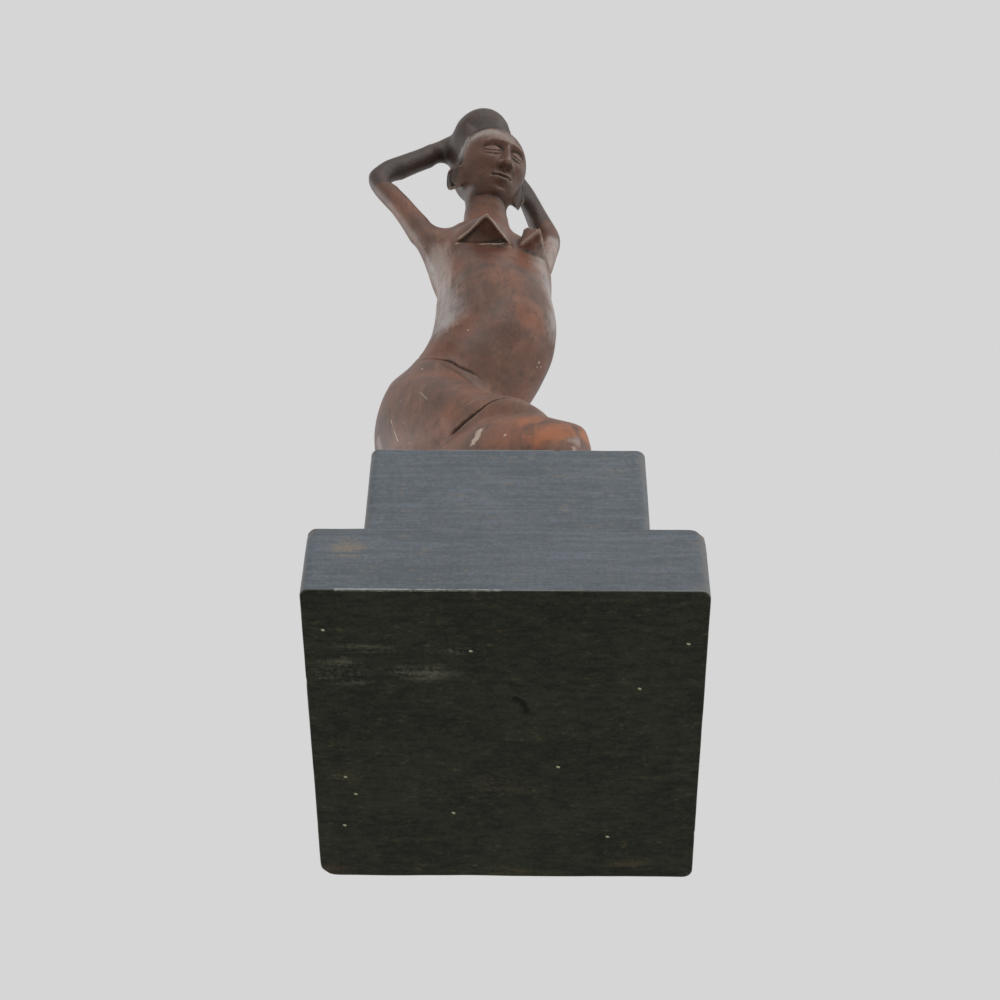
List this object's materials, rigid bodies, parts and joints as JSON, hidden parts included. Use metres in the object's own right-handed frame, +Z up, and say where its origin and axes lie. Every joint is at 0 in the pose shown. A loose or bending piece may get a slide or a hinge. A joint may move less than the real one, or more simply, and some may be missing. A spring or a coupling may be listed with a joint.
{
  "type": "wooden tribal figurine",
  "caption": "Carved wooden figurine of a slender kneeling woman with her arms raised and her hands behind her hair, on a stepped square black plinth.",
  "frame": {"origin": "centre of the plinth's flat underside", "axes": "+Z up, -Y out of the plinth's front face, +X to the right as seen from the front"},
  "size_m": [0.0932, 0.09, 0.302],
  "materials": {
    "carved_wood": "satin, hand polished, worn lighter and more orange on the raised parts",
    "black_wood": "satin black paint, worn along the edges"
  },
  "bodies": {
    "root": {"kneeling_figure": "carved_wood", "plinth_block": "black_wood", "plinth_slab": "black_wood"}
  },
  "joints": []
}
